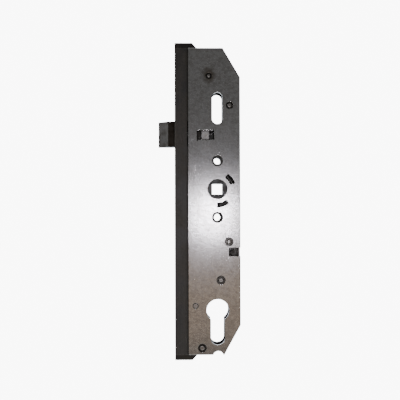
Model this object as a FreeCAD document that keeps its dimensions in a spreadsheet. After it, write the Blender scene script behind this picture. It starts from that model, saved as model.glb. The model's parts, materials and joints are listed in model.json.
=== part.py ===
import FreeCAD, Part

# Centre case of a multipoint mortise lock for a door: a riveted two-plate case with a front channel,
# a sprung latch, a handle follower, a toothed drive cam and rack, and a cylinder-driven deadlock.
# The origin is the spindle axis at mid-thickness; +X points into the door, away from its edge,
# +Z is up and the cover plate faces -Y.  All sizes are in millimetres and in degrees.

import math
import os
import re

import Sketcher

DOC = FreeCAD.newDocument("mortise_lock")
SHEET = DOC.addObject("Spreadsheet::Sheet", "sizes")

# Driving dimensions: alias and number, grouped by the piece that they shape.
SIZES = {
    # case plates
    "case_half": 8.0, "gauge": 1.5, "plate_front": -22.1, "plate_rear": 17.35,
    "plate_top": 107.4, "plate_bottom": -125.5, "top_corner": 4.2, "top_shoulder": 85.1,
    "bottom_corner": 4.9, "bottom_shoulder": -103.0, "wall_start": -15.0,
    "relief_x": 0.3, "relief_z": -126.6, "relief_radius": 4.0, "shear_round": 0.22,
    "cover_round": 0.4, "bend_round": 1.3, "hole_margin": 2.0,
    # openings in the plates
    "spindle_clear": 7.4, "bush_height": 21.5, "bush_outer": 4.0, "bush_bore": 2.7,
    "slot_low": 53.5, "slot_high": 69.5, "slot_radius": 4.0,
    "window_left": -15.5, "window_right": -2.2, "window_low": 37.4, "window_high": 44.7,
    "window_round": 0.8,
    "sight_radius": 12.2, "spring_sight_half": 1.7, "spring_sight_from": 19.5,
    "spring_sight_to": 55.2, "lobe_sight_half": 1.6, "lobe_sight_from": -91.0,
    "lobe_sight_to": -51.5,
    "notch_left": 8.7, "notch_high": -44.4, "notch_low": -51.0, "wall_notch_depth": 6.0,
    "cylinder_z": -92.0, "cylinder_round": 8.5, "cylinder_slot_half": 5.25,
    "cylinder_slot_end": -118.0,
    # rivets and posts: places, hole radii and pin radii
    "post_a_x": -6.4, "post_a_z": 86.2, "post_a_hole": 2.4, "post_a_pin": 1.5,
    "post_b_x": 9.4, "post_b_z": 63.7, "post_b_hole": 2.8, "post_b_pin": 1.8,
    "post_c_x": 8.6, "post_c_z": -40.0, "post_c_hole": 3.2, "post_c_pin": 1.75,
    "post_d_x": 2.5, "post_d_z": -69.0, "post_d_hole": 3.3, "post_d_pin": 1.85,
    "post_f_x": -11.8, "post_f_z": -120.2, "post_f_hole": 3.2, "post_f_pin": 2.0,
    "flange_rivet_x": -16.8, "flange_rivet_z": -88.4, "flange_rivet_radius": 2.1,
    "pin_sink": 0.15, "post_step": 0.3, "pivot_radius": 3.0, "pivot_collar": 1.1,
    "post_dome": 0.8, "dimple_ratio": 0.3, "dimple_depth": 0.12, "bush_chamfer": 0.2,
    # front channel and its end blocks
    "backset": 32.4, "channel_half": 6.45, "channel_gauge": 1.0, "flange_rear": -15.4,
    "end_reach": 4.1, "end_corner": -19.1, "end_depth": 9.4, "end_gap": 0.05,
    "tapped_radius": 2.1, "tapped_inset": 4.6,
    "slit_width": 0.85, "slit_low": 32.2, "slit_high": 51.7, "rail_low": 55.6, "rail_high": 86.4,
    "rail_half": 3.2, "channel_bend": 0.9, "block_round": 0.4,
    # latch
    "latch_z": 42.0, "latch_half_tall": 9.75, "latch_half_wide": 4.2, "latch_flank": -37.4,
    "latch_tip": -44.9, "latch_rear": -26.5, "latch_play": 0.25, "latch_bore": 3.3,
    "latch_bore_end": -36.8, "tip_flat": 0.9, "latch_edge": 0.3, "stem_radius": 1.6,
    "stem_front": -39.9, "cross_pin_radius": 1.0, "cross_pin_x": -38.5, "cross_pin_half": 4.0,
    "tail_left": -11.9, "tail_right": -6.4, "tail_low": 36.6, "tail_high": 47.4,
    "tail_near": -6.2, "tail_far": 5.0, "tail_round": 0.6,
    "guide_front": -13.9, "guide_rear": -12.4, "guide_near": -2.3, "guide_low": 37.2,
    "guide_high": 46.8, "guide_play": 0.05, "foot_near": 5.3, "foot_rear": -6.6,
    "latch_wire": 0.35, "latch_coil": 2.4, "latch_turns": 9.0,
    # latch lever
    "lever_near": -5.2, "lever_far": -2.8, "lever_hub": 6.2, "pivot_fit": 0.05,
    "tip_x": -14.05, "tip_z": 42.0, "tip_radius": 2.0, "elbow_x": -15.6, "elbow_z": 32.6,
    "elbow_radius": 2.2, "heel_left": -13.24, "heel_low": 11.43, "heel_right": -1.0,
    "heel_high": 15.22, "heel_curve": 21.63, "heel_tip_x": -14.4, "heel_tip_z": 14.2,
    "heel_root_x": 3.5, "heel_root_z": 18.0,
    # follower
    "boss_radius": 7.35, "square_half": 4.1, "boss_round": 0.3, "core_near_radius": 9.5,
    "core_far_radius": 8.4, "core_reach": 6.2, "core_split": -0.1, "lobe_near": -6.2,
    "finger_x": -12.2, "finger_z": 9.5, "finger_radius": 1.8, "finger_root": 4.6,
    "finger_root_x": -4.2, "finger_root_z": 3.2, "spring_lobe_reach": 14.6,
    "spring_lobe_from": 69.0, "spring_lobe_to": 90.0, "sight_lobe_reach": 14.2,
    "sight_lobe_from": -83.0, "sight_lobe_to": -48.0, "dog_reach": 12.6, "dog_from": 36.0,
    "dog_to": 56.0,
    # follower return spring
    "return_angle": -53.0, "return_x": 6.0, "return_z": 12.31, "return_length": 12.4,
    "return_y": -4.0, "return_wire": 0.32, "return_coil": 1.65, "return_turns": 7.0,
    "seat_near": -6.2, "seat_far": -1.6, "seat_width": 2.3, "seat_low": -1.2,
    # drive cam and rack
    "cam_near": 0.2, "cam_far": 4.6, "cam_rim": 13.2, "cam_gap_from": -52.0,
    "cam_gap_to": 58.0, "tooth_module": 2.0, "cam_pitch": 22.0, "teeth_round": 22.0,
    "sector_from": 114.5, "sector_to": 196.4, "backlash": 0.3, "pressure": 20.0,
    "bar_front": -31.1, "bar_rear": -28.1, "bar_half": 5.15, "bar_reach": 94.0,
    "bar_travel": 20.0, "bar_window_half": 4.5, "rack_low": -10.0, "rack_high": 29.0,
    "rack_near": -0.4, "rack_far": 4.9, "rack_rivet_radius": 1.4, "rack_rivet_low": -7.0,
    "rack_rivet_high": 26.0, "rack_rivet_y": 2.2, "connector_low": 76.0,
    "connector_high": 86.0, "connector_half": 2.9, "connector_front": -32.2,
    "notch_half_tall": 3.3, "notch_half_wide": 2.15, "rod_hole": 1.65,
    "rack_rivet_rear": -26.0,
    # deadlock
    "slider_z": -57.0, "slider_half_tall": 3.0, "slider_front": -27.7, "slider_rear": 5.0,
    "slider_half_thick": 1.8, "throw": 3.1, "stud_radius": 1.5, "stud_head": 2.4,
    "stud_front_x": -12.0, "stud_rear_x": -5.5, "stud_near": -2.6, "stud_base": 2.6,
    "stud_gap": 0.3, "stud_play": 0.05,
    "drive_pin_radius": 1.4, "drive_pin_near": -5.2, "dead_hub": 5.6,
    "dead_tip_x": 12.2, "dead_tip_z": -48.4, "dead_tip_radius": 2.2, "dead_slot_low": -58.0,
    "dead_slot_high": -55.9, "dead_slot_half": 1.6, "dead_head_z": -56.9,
    "dead_head_radius": 4.0, "dead_arm_radius": 3.0, "dead_heel_root": 4.5,
    "dead_heel_x": 0.5, "dead_heel_z": -78.6, "dead_heel_radius": 2.2,
    "dead_wire": 0.3, "dead_coil": 2.0, "dead_turns": 6.0, "spring_gap": 0.1,
}


# How near to a place an edge has to lie to count as being there.
SLACK = 0.1


# ---- sheet and formulas ------------------------------------------------------------------------

def fill_sheet():
    """Write every driving dimension into the sheet, as text, with its alias beside it."""
    for row, (alias, number) in enumerate(SIZES.items(), start=1):
        SHEET.set(f"A{row}", alias)
        SHEET.set(f"B{row}", str(number))
        SHEET.setAlias(f"B{row}", alias)
    DOC.recompute()


def bound(formula):
    """The formula with every alias in it written as a reference to the sheet."""
    def refer(word):
        return f"sizes.{word[0]}" if word[0] in SIZES else word[0]
    return re.sub(r"[A-Za-z][A-Za-z0-9_]*", refer, str(formula))


def value(formula):
    """The number that a formula on the sheet works out to."""
    result = SHEET.evalExpression(bound(formula))
    return float(getattr(result, "Value", result))


def polar(radius, angle, x="0", z="0"):
    """Formulas for the point at a radius and an angle about a centre."""
    return f"({x}) + ({radius}) * cos({angle})", f"({z}) + ({radius}) * sin({angle})"


# ---- sketch shapes: each function returns one that draws its shape on a sketch -------------------

def bind(sketch, kind, formula, *places):
    """Add a dimension whose size is a formula on the sheet."""
    index = sketch.addConstraint(Sketcher.Constraint(kind, *places, value(formula)))
    sketch.setExpression(f"Constraints[{index}]", bound(formula))


def fix_point(sketch, edge, end, x, z):
    """Hold one end or the centre of an edge at formulas measured from the sketch's origin."""
    bind(sketch, "DistanceX", x, -1, 1, edge, end)
    bind(sketch, "DistanceY", z, -1, 1, edge, end)


def arc_between(start, end, radius):
    """An arc of less than half a turn; a negative radius makes it run clockwise."""
    chord = end - start
    rise = math.sqrt(radius ** 2 - (chord.Length / 2) ** 2) * math.copysign(1, radius)
    side = FreeCAD.Vector(-chord.y, chord.x, 0) / chord.Length
    centre = start + chord / 2 + side * rise
    first, last = (start, end) if radius > 0 else (end, start)
    turn_from = math.atan2(first.y - centre.y, first.x - centre.x)
    turn_to = math.atan2(last.y - centre.y, last.x - centre.x)
    if turn_to < turn_from:
        turn_to += 2 * math.pi
    circle_edge = Part.Circle(centre, FreeCAD.Vector(0, 0, 1), abs(radius))
    return Part.ArcOfCircle(circle_edge, turn_from, turn_to)


def outline(points):
    """A closed outline.  A point is (x, z), or (x, z, radius) where an arc of that radius arrives;
    the radius is negative when the arc runs clockwise."""
    def draw(sketch):
        base = sketch.GeometryCount
        places = [FreeCAD.Vector(value(point[0]), value(point[1]), 0) for point in points]
        ends = []
        for index, point in enumerate(points):
            start, end = places[index - 1], places[index]
            radius = value(point[2]) if len(point) > 2 else 0
            if radius:
                sketch.addGeometry(arc_between(start, end, radius), False)
            else:
                sketch.addGeometry(Part.LineSegment(start, end), False)
            ends.append((1, 2) if radius >= 0 else (2, 1))
        for index, point in enumerate(points):
            edge, after = base + index, (index + 1) % len(points)
            sketch.addConstraint(Sketcher.Constraint(
                "Coincident", edge, ends[index][1], base + after, ends[after][0]))
            fix_point(sketch, edge, ends[index][1], point[0], point[1])
            if len(point) > 2:
                bind(sketch, "Radius", f"abs({point[2]})", edge)
    return draw


def circle(x, z, radius):
    """A circle about a centre."""
    def draw(sketch):
        centre = FreeCAD.Vector(value(x), value(z), 0)
        edge = sketch.addGeometry(Part.Circle(centre, FreeCAD.Vector(0, 0, 1), value(radius)), False)
        fix_point(sketch, edge, 3, x, z)
        bind(sketch, "Radius", radius, edge)
    return draw


def arm(first, last):
    """The straight-sided band round two circles, each given as (x, z, radius)."""
    def draw(sketch):
        one, two = [FreeCAD.Vector(value(end[0]), value(end[1]), 0) for end in (first, last)]
        small, large = value(last[2]), value(first[2])
        along = math.atan2(two.y - one.y, two.x - one.x)
        lean = math.acos((large - small) / (two - one).Length)
        base = sketch.GeometryCount
        up = FreeCAD.Vector(0, 0, 1)
        near_arc = (Part.Circle(one, up, large), along + lean, along - lean + 2 * math.pi)
        far_arc = (Part.Circle(two, up, small), along - lean, along + lean)
        sides = []
        for angle in (along + lean, along - lean):
            spoke = FreeCAD.Vector(math.cos(angle), math.sin(angle), 0)
            sides.append((one + spoke * large, two + spoke * small))
        sketch.addGeometry(Part.ArcOfCircle(*near_arc), False)
        sketch.addGeometry(Part.LineSegment(sides[1][0], sides[1][1]), False)
        sketch.addGeometry(Part.ArcOfCircle(*far_arc), False)
        sketch.addGeometry(Part.LineSegment(sides[0][1], sides[0][0]), False)
        for step in range(4):
            edge, after = base + step, base + (step + 1) % 4
            sketch.addConstraint(Sketcher.Constraint("Tangent", edge, 2, after, 1))
        for edge, (x, z, radius) in ((base, first), (base + 2, last)):
            fix_point(sketch, edge, 3, x, z)
            bind(sketch, "Radius", radius, edge)
    return draw


def box_outline(left, low, right, high, corner=None):
    """A rectangle, with rounded corners when a corner radius is given."""
    if corner is None:
        return outline([(left, low), (right, low), (right, high), (left, high)])
    points = []
    for x, z, ahead_x, ahead_z in ((right, low, 0, 1), (right, high, -1, 0),
                                   (left, high, 0, -1), (left, low, 1, 0)):
        behind_x, behind_z = -ahead_z, ahead_x
        points.append((f"{x} + {behind_x} * {corner}", f"{z} - {behind_z} * {corner}"))
        points.append((f"{x} + {ahead_x} * {corner}", f"{z} + {ahead_z} * {corner}", corner))
    return outline(points)


def ring_sector(inner, outer, start, end):
    """A piece of a ring about the origin, between two angles under half a turn apart."""
    return outline([
        (*polar(inner, start), f"-({inner})"), polar(outer, start),
        (*polar(outer, end), outer), polar(inner, end)])


# ---- solids --------------------------------------------------------------------------------------

def new_body(label, group=False):
    """A body whose label is its node's name; a group holds several separate solids."""
    body = DOC.addObject("PartDesign::Body", label)
    body.Label = label
    body.AllowCompound = group
    return body


def new_sketch(body, plane, offset):
    """A sketch on one of the body's own origin planes, moved along that plane's normal."""
    sketch = body.newObject("Sketcher::SketchObject", f"{body.Name}_sketch")
    faces = [item for item in body.Origin.OriginFeatures if item.Role == plane]
    sketch.AttachmentSupport = [(faces[0], "")]
    sketch.MapMode = "FlatFace"
    sketch.setExpression("AttachmentOffset.Base.z", bound(offset))
    return sketch


def extrude(body, kind, base, depth, plane, shapes):
    """Pad or pocket the shapes by a depth, from a base offset along the plane's normal."""
    sketch = new_sketch(body, plane, base)
    for draw in shapes:
        draw(sketch)
    feature = body.newObject(f"PartDesign::{kind}", f"{body.Name}_{kind.lower()}")
    feature.Profile = sketch
    feature.setExpression("Length", bound(depth))
    sketch.Visibility = False
    return feature


def add(body, low, high, *shapes, plane="XZ_Plane"):
    """Fill the shapes between two places on the axis across the plane (Y for the XZ plane)."""
    base = f"-({high})" if plane == "XZ_Plane" else low
    return extrude(body, "Pad", base, f"({high}) - ({low})", plane, shapes)


def cut(body, low, high, *shapes, plane="XZ_Plane"):
    """Remove the shapes between two places on the axis across the plane (Y for the XZ plane)."""
    base = f"-({low})" if plane == "XZ_Plane" else high
    return extrude(body, "Pocket", base, f"({high}) - ({low})", plane, shapes)


def dress_edges(body, kind, quality, size, chosen):
    """Fillet or chamfer the edges that a test picks on the body as it stands."""
    DOC.recompute()
    base = body.Tip
    names = [f"Edge{index}" for index, edge in enumerate(base.Shape.Edges, start=1) if chosen(edge)]
    feature = body.newObject(f"PartDesign::{kind}", f"{body.Name}_{kind.lower()}")
    feature.Base = (base, names)
    feature.setExpression(quality, bound(size))
    return feature


def round_edges(body, radius, chosen):
    """Fillet the edges that a test picks on the body as it stands."""
    return dress_edges(body, "Fillet", "Radius", radius, chosen)


def rim_at(*depths):
    """A test for circular edges that lie flat at any of the given places along Y."""
    def chosen(edge):
        flat = edge.BoundBox.YLength < 1e-4
        return flat and any(abs(edge.BoundBox.YMin - value(depth)) < 1e-4 for depth in depths)
    return chosen


def chamfer_edges(body, size, chosen):
    """Chamfer the edges that a test picks on the body as it stands."""
    return dress_edges(body, "Chamfer", "Size", size, chosen)


# ---- case ----------------------------------------------------------------------------------------

POSTS = ("post_a", "post_b", "post_c", "post_f")
RIVET_HOLES = POSTS + ("post_d",)
PLATE_OUTLINE = [
    ("plate_front", "plate_bottom"), ("bottom_corner", "plate_bottom"),
    ("plate_rear", "bottom_shoulder"), ("plate_rear", "top_shoulder"),
    ("top_corner", "plate_top"), ("plate_front", "plate_top")]


def cylinder_opening():
    """The keyhole-shaped opening for a profile cylinder."""
    side, end = "cylinder_slot_half", "cylinder_slot_end"
    waist = f"cylinder_z - sqrt(cylinder_round ^ 2 - {side} ^ 2)"
    return outline([
        (f"-{side}", waist, "cylinder_round"), (f"-{side}", f"{end} + {side}"),
        ("0", end, side), (side, f"{end} + {side}", side), (side, waist),
        ("cylinder_round", "cylinder_z", "cylinder_round"),
        ("0", "cylinder_z + cylinder_round", "cylinder_round"),
        ("-cylinder_round", "cylinder_z", "cylinder_round")])


def shared_holes():
    """Openings that both side plates have."""
    holes = [circle(f"{name}_x", f"{name}_z", f"{name}_hole") for name in RIVET_HOLES]
    holes.append(circle("flange_rivet_x", "flange_rivet_z", "flange_rivet_radius"))
    holes.append(circle("0", "0", "spindle_clear"))
    holes.append(circle("0", "bush_height", "bush_outer"))
    holes.append(circle("0", "-bush_height", "bush_outer"))
    holes.append(arm(("0", "slot_high", "slot_radius"), ("0", "slot_low", "slot_radius")))
    holes.append(cylinder_opening())
    return holes


def round_rim(body, face, radius):
    """Round the outer edges of a side plate's face, all but its straight front edge."""
    at_face = rim_at(face)
    front = value("plate_front") + SLACK
    round_edges(body, radius, lambda edge: at_face(edge) and edge.BoundBox.XMax > front)


def round_holes(body, face):
    """Take the sharpness off the edges of the holes in a side plate's face."""
    at_face = rim_at(face)
    margin = value("hole_margin")
    front, rear = value("plate_front") + margin / 2, value("plate_rear") - margin
    low, high = value("plate_bottom") + margin, value("plate_top") - margin

    def is_hole(edge):
        span = edge.BoundBox
        within = span.XMin > front and span.XMax < rear and span.ZMin > low and span.ZMax < high
        return at_face(edge) and within
    round_edges(body, "shear_round", is_hole)


def make_cover_plate():
    """Near side plate, with the window, the two sight slots and the rear notch."""
    body = new_body("cover_plate")
    near, far = "-case_half", "gauge - case_half"
    add(body, near, far, outline(PLATE_OUTLINE))
    round_rim(body, near, "cover_round")
    cut(body, near, far, *shared_holes(), box_outline(
        "window_left", "window_low", "window_right", "window_high", "window_round"))
    for name in ("spring_sight", "lobe_sight"):
        cut(body, near, far, ring_sector(
            f"sight_radius - {name}_half", f"sight_radius + {name}_half",
            f"{name}_from", f"{name}_to"))
    cut(body, near, far, box_outline("notch_left", "notch_low", "plate_rear + gauge", "notch_high"))
    cut(body, near, far, circle("relief_x", "relief_z", "relief_radius"))
    round_holes(body, near)
    return body


def make_case_tray():
    """Far side plate with the walls bent up from it round the rear, the corners and the ends."""
    body = new_body("case_tray")
    floor, rim, back = "case_half - gauge", "gauge - case_half", "case_half"
    add(body, rim, back, outline(PLATE_OUTLINE))
    round_rim(body, back, "bend_round")
    inner = "(plate_rear - gauge)"
    top_slope = "atan((plate_top - top_shoulder) / (plate_rear - top_corner)) / 2"
    top_lean = "atan((plate_rear - top_corner) / (plate_top - top_shoulder)) / 2"
    low_slope = "atan((bottom_shoulder - plate_bottom) / (plate_rear - bottom_corner)) / 2"
    low_lean = "atan((plate_rear - bottom_corner) / (bottom_shoulder - plate_bottom)) / 2"
    past_top, past_bottom = "plate_top + gauge", "plate_bottom - gauge"
    hollow = [
        ("plate_front - gauge", past_bottom), ("wall_start", past_bottom),
        ("wall_start", "plate_bottom + gauge"),
        (f"bottom_corner - gauge * tan({low_slope})", "plate_bottom + gauge"),
        (inner, f"bottom_shoulder + gauge * tan({low_lean})"),
        (inner, f"top_shoulder - gauge * tan({top_lean})"),
        (f"top_corner - gauge * tan({top_slope})", "plate_top - gauge"),
        ("wall_start", "plate_top - gauge"), ("wall_start", past_top),
        ("plate_front - gauge", past_top)]
    cut(body, rim, floor, outline(hollow))
    cut(body, floor, back, *shared_holes())
    cut(body, rim, f"{rim} + wall_notch_depth",
        box_outline(f"{inner} - gauge", "notch_low", "plate_rear + gauge", "notch_high"))
    cut(body, rim, back, circle("relief_x", "relief_z", "relief_radius"))
    round_holes(body, back)
    return body


def make_front_channel():
    """Dark U-section along the door edge, with the latch opening, rail windows and open ends."""
    body = new_body("front_channel")
    front, half, skin = "-backset", "channel_half", "channel_gauge"
    add(body, "plate_bottom", "plate_top",
        box_outline(front, f"-{half}", "flange_rear", half), plane="XY_Plane")
    web, tall = value(front) + SLACK, value("plate_top")
    round_edges(body, "channel_bend", lambda edge: (
        edge.BoundBox.ZLength > tall and edge.BoundBox.XMax < web))
    cut(body, "plate_bottom - gauge", "plate_top + gauge", box_outline(
        f"{front} + {skin}", f"{skin} - {half}", "flange_rear + gauge", f"{half} - {skin}"),
        plane="XY_Plane")
    wide = "latch_half_wide + latch_play"
    low, high = "latch_z - latch_half_tall - latch_play", "latch_z + latch_half_tall + latch_play"
    openings = [
        box_outline(f"-({wide})", low, wide, high),
        box_outline("-rail_half", "rail_low", "rail_half", "rail_high"),
        box_outline("-rail_half", "-(rail_high + bar_travel)", "rail_half", "-(rail_low + bar_travel)"),
        box_outline(f"{skin} - {half}", "plate_top - end_depth - end_gap",
                    f"{half} - {skin}", "plate_top + gauge"),
        box_outline(f"{skin} - {half}", "plate_bottom - gauge",
                    f"{half} - {skin}", "plate_bottom + end_depth + end_gap")]
    cut(body, f"{front} - {skin}", f"{front} + 2 * {skin}", *openings, plane="YZ_Plane")
    cut(body, f"-{half} - {skin}", f"{skin} - {half}", box_outline(
        "plate_front - slit_width", "slit_low", "plate_front", "slit_high"))
    shank = "flange_rivet_radius / 2"
    cut(body, f"-{half} - {skin}", f"{half} + {skin}",
        circle("flange_rivet_x", "flange_rivet_z", shank))
    return body


def make_end_block(label, side, edge):
    """Block that closes one end of the channel, stands a little past it and takes a faceplate screw."""
    body = new_body(label)
    inside = f"({edge} - {side} * end_depth)"
    outside = f"({edge} + {side} * end_reach)"
    skin = "(channel_gauge + end_gap)"
    front = "-backset"
    plug = [(front, inside), ("flange_rear", inside), ("flange_rear", edge), (front, edge)]
    head = [
        (front, edge), ("flange_rear", edge), ("end_corner", outside), (front, outside)]
    if side < 0:
        plug.reverse()
        head.reverse()
    add(body, f"{skin} - channel_half", f"channel_half - {skin}", outline(plug))
    add(body, "-channel_half", "channel_half", outline(head))
    face = value(edge)
    round_edges(body, "block_round", lambda rib: side * (rib.BoundBox.Center.z - face) > SLACK)
    cut(body, f"{front} - gauge", "flange_rear + gauge",
        circle("0", f"{edge} - {side} * tapped_inset", "tapped_radius"), plane="YZ_Plane")
    return body


def make_fixing_bush(label, height):
    """Tube between the plates for a handle fixing screw, its ends flush with the case."""
    body = new_body(label)
    add(body, "-case_half", "case_half", circle("0", height, "bush_outer"),
        circle("0", height, "bush_bore"))
    at_end = rim_at("-case_half", "case_half")
    widest = value("bush_outer + bush_bore")
    chamfer_edges(body, "bush_chamfer", lambda edge: at_end(edge) and edge.BoundBox.XLength < widest)
    return body


def make_spacer_posts():
    """Shouldered posts that hold the plates apart, with domed ends sunk in the plates' holes."""
    body = new_body("spacer_posts", group=True)
    inner, end = "(case_half - gauge)", "(case_half - pin_sink)"
    add(body, f"-{inner}", inner, *[
        circle(f"{name}_x", f"{name}_z", f"{name}_hole + post_step") for name in POSTS])
    add(body, f"-{end}", end, *[
        circle(f"{name}_x", f"{name}_z", f"{name}_pin") for name in POSTS])
    round_edges(body, "post_dome", rim_at(f"-{end}", end))
    dimples = [circle(f"{name}_x", f"{name}_z", f"{name}_pin * dimple_ratio") for name in POSTS]
    cut(body, f"-{end}", f"dimple_depth - {end}", *dimples)
    cut(body, f"{end} - dimple_depth", end, *dimples)
    return body


def make_deadlock_pivot():
    """Shouldered pin that the deadlock lever turns on."""
    body = new_body("deadlock_pivot")
    x, z = "post_d_x", "post_d_z"
    inner, end = "(case_half - gauge)", "(case_half - pin_sink)"
    add(body, f"-{inner}", inner, circle(x, z, "pivot_radius"))
    for low, high in ((f"-{inner}", f"pivot_collar - {inner}"), (f"{inner} - pivot_collar", inner)):
        add(body, low, high, circle(x, z, "post_d_hole + post_step"))
    add(body, f"-{end}", end, circle(x, z, "post_d_pin"))
    round_edges(body, "post_dome", rim_at(f"-{end}", end))
    for low, high in ((f"-{end}", f"dimple_depth - {end}"), (f"{end} - dimple_depth", end)):
        cut(body, low, high, circle(x, z, "post_d_pin * dimple_ratio"))
    return body


def make_flange_rivets():
    """Small buttons that hold the channel's flanges to the two plates."""
    body = new_body("flange_rivets", group=True)
    x, z, radius = "flange_rivet_x", "flange_rivet_z", "flange_rivet_radius"
    inner, top, tail = "(case_half - gauge)", "(case_half - pin_sink)", "(channel_half - channel_gauge)"
    add(body, inner, top, circle(x, z, radius))
    add(body, f"-{top}", f"-{inner}", circle(x, z, radius))
    add(body, tail, inner, circle(x, z, f"{radius} / 2"))
    add(body, f"-{inner}", f"-{tail}", circle(x, z, f"{radius} / 2"))
    round_edges(body, f"{radius} / 4", rim_at(f"-{top}", top))
    return body


# ---- latch ---------------------------------------------------------------------------------------

def make_latch_bolt():
    """Bevelled latch head, bored from the rear for its spring and its stem."""
    body = new_body("latch_bolt")
    half = "latch_half_wide"
    low, high = "latch_z - latch_half_tall", "latch_z + latch_half_tall"
    add(body, low, high, outline([
        ("latch_flank", f"-{half}"), ("latch_rear", f"-{half}"), ("latch_rear", half),
        ("latch_tip", half), ("latch_tip", f"{half} - tip_flat")]), plane="XY_Plane")
    cut(body, "latch_bore_end", "latch_rear + gauge", circle("0", "latch_z", "latch_bore"),
        plane="YZ_Plane")
    cut(body, "stem_front", "latch_rear + gauge", circle("0", "latch_z", "stem_radius"),
        plane="YZ_Plane")
    cut(body, "latch_z - cross_pin_half", f"{high} + gauge",
        circle("cross_pin_x", "0", "cross_pin_radius"), plane="XY_Plane")
    tall = value("2 * latch_half_tall") - SLACK
    front = value("latch_flank") + SLACK
    round_edges(body, "latch_edge", lambda edge: (
        edge.BoundBox.ZLength > tall and edge.BoundBox.XMax < front))
    ends = (value(low), value(high))

    def is_end_edge(edge):
        span = edge.BoundBox
        level = span.ZLength < SLACK and min(abs(span.ZMin - end) for end in ends) < SLACK
        return level and span.XLength > SLACK
    round_edges(body, "latch_edge", is_end_edge)
    return body


def make_latch_tail():
    """Stem pinned into the latch head, with the block that the lever pushes at its rear end."""
    body = new_body("latch_tail")
    add(body, "stem_front", "tail_left", circle("0", "latch_z", "stem_radius"), plane="YZ_Plane")
    add(body, "tail_near", "tail_far",
        box_outline("tail_left", "tail_low", "tail_right", "tail_high", "tail_round"))
    cut(body, "latch_z - latch_half_tall", "latch_z + latch_half_tall",
        circle("cross_pin_x", "0", "cross_pin_radius"), plane="XY_Plane")
    return body


def make_latch_pin():
    """Cross pin that holds the stem in the latch head."""
    body = new_body("latch_pin")
    add(body, "latch_z - cross_pin_half", "latch_z + latch_half_tall - pin_sink",
        circle("cross_pin_x", "0", "cross_pin_radius"), plane="XY_Plane")
    return body


def make_latch_guide():
    """Angle on the tray that guides the stem, backs the latch spring and stops the tail."""
    body = new_body("latch_guide")
    inner = "(case_half - gauge)"
    add(body, "guide_near", inner,
        box_outline("guide_front", "guide_low", "guide_rear", "guide_high"))
    add(body, "foot_near", inner,
        box_outline("guide_rear - gauge / 2", "guide_low", "foot_rear", "guide_high"))
    cut(body, "guide_front - gauge", "foot_rear + gauge",
        circle("0", "latch_z", "stem_radius + guide_play"), plane="YZ_Plane")
    return body


def make_latch_lever():
    """Bell crank on the upper bush: the follower lifts its heel and its tip draws the latch in."""
    body = new_body("latch_lever")
    near, far = "lever_near", "lever_far"
    pivot = ("0", "bush_height")
    elbow = ("elbow_x", "elbow_z", "elbow_radius")
    add(body, near, far, circle(*pivot, "lever_hub"))
    add(body, near, far, arm((*pivot, "lever_hub - gauge"), elbow))
    add(body, near, far, arm(elbow, ("tip_x", "tip_z", "tip_radius")))
    add(body, near, far, outline([
        ("heel_left", "heel_low"), ("heel_right", "heel_high", "heel_curve"),
        ("heel_root_x", "heel_root_z"), ("0", "bush_height + gauge"),
        ("heel_tip_x", "heel_tip_z")]))
    cut(body, near, far, circle(*pivot, "bush_outer + pivot_fit"))
    round_edges(body, "shear_round", rim_at(near))
    return body


# ---- follower ------------------------------------------------------------------------------------

def make_follower():
    """Hub turned by the handle's spindle, with lobes for the latch lever, the return spring,
    the sight slot and the drive cam."""
    body = new_body("follower")
    add(body, "-core_reach", "core_split", circle("0", "0", "core_near_radius"))
    add(body, "core_split", "core_reach", circle("0", "0", "core_far_radius"))
    add(body, "-case_half", "case_half", circle("0", "0", "boss_radius"))
    root = "(core_near_radius - gauge)"
    add(body, "lever_near", "lever_far",
        arm(("finger_root_x", "finger_root_z", "finger_root"),
            ("finger_x", "finger_z", "finger_radius")))
    for name in ("spring_lobe", "sight_lobe"):
        add(body, "lobe_near", "lever_far",
            ring_sector(root, f"{name}_reach", f"{name}_from", f"{name}_to"))
    add(body, "cam_near", "cam_far",
        ring_sector("core_far_radius - gauge", "dog_reach", "dog_from", "dog_to"))
    round_edges(body, "boss_round", rim_at("-case_half", "case_half"))
    cut(body, "-case_half - gauge", "case_half + gauge",
        box_outline("-square_half", "-square_half", "square_half", "square_half"))
    mouth = value("2 * square_half") + SLACK
    at_end = rim_at("-case_half", "case_half")
    chamfer_edges(body, "boss_round", lambda edge: (
        at_end(edge) and edge.BoundBox.DiagonalLength < mouth))
    return body


def make_spring_seat():
    """Block on the rear wall that the return spring presses against."""
    body = new_body("spring_seat")
    reach = "(return_length + 2 * spring_gap)"
    centre = polar(reach, "return_angle", "return_x", "return_z")
    upper = polar("seat_width", "return_angle + 90", *centre)
    lower = polar("seat_width", "return_angle - 90", *centre)
    wall = "plate_rear - gauge"
    add(body, "seat_near", "seat_far", outline([
        lower, (lower[0], "seat_low"), (wall, "seat_low"), (wall, upper[1]), upper]))
    return body


def make_spring(label, start, angle, length, wire, coil, turns):
    """Round-wire compression spring from a start point, along an angle in the plate's plane."""
    body = new_body(label)
    sketch = new_sketch(body, "XZ_Plane", "0")
    circle(coil, wire, wire)(sketch)
    sketch.Visibility = False
    helix = body.newObject("PartDesign::AdditiveHelix", f"{label}_helix")
    helix.Profile = sketch
    helix.ReferenceAxis = (sketch, ["V_Axis"])
    helix.Mode = "pitch-height-angle"
    helix.setExpression("Height", bound(f"{length} - 2 * {wire}"))
    helix.setExpression("Pitch", bound(f"({length} - 2 * {wire}) / {turns}"))
    turn = FreeCAD.Rotation(FreeCAD.Vector(0, 1, 0), 90 - value(angle))
    body.Placement = FreeCAD.Placement(FreeCAD.Vector(*[value(place) for place in start]), turn)
    body.setExpression("Placement.Rotation.Angle", bound(f"90 - ({angle})"))
    for axis, place in zip("xyz", start):
        body.setExpression(f"Placement.Base.{axis}", bound(place))
    return body


# ---- drive cam, rack and bar ----------------------------------------------------------------------

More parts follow.
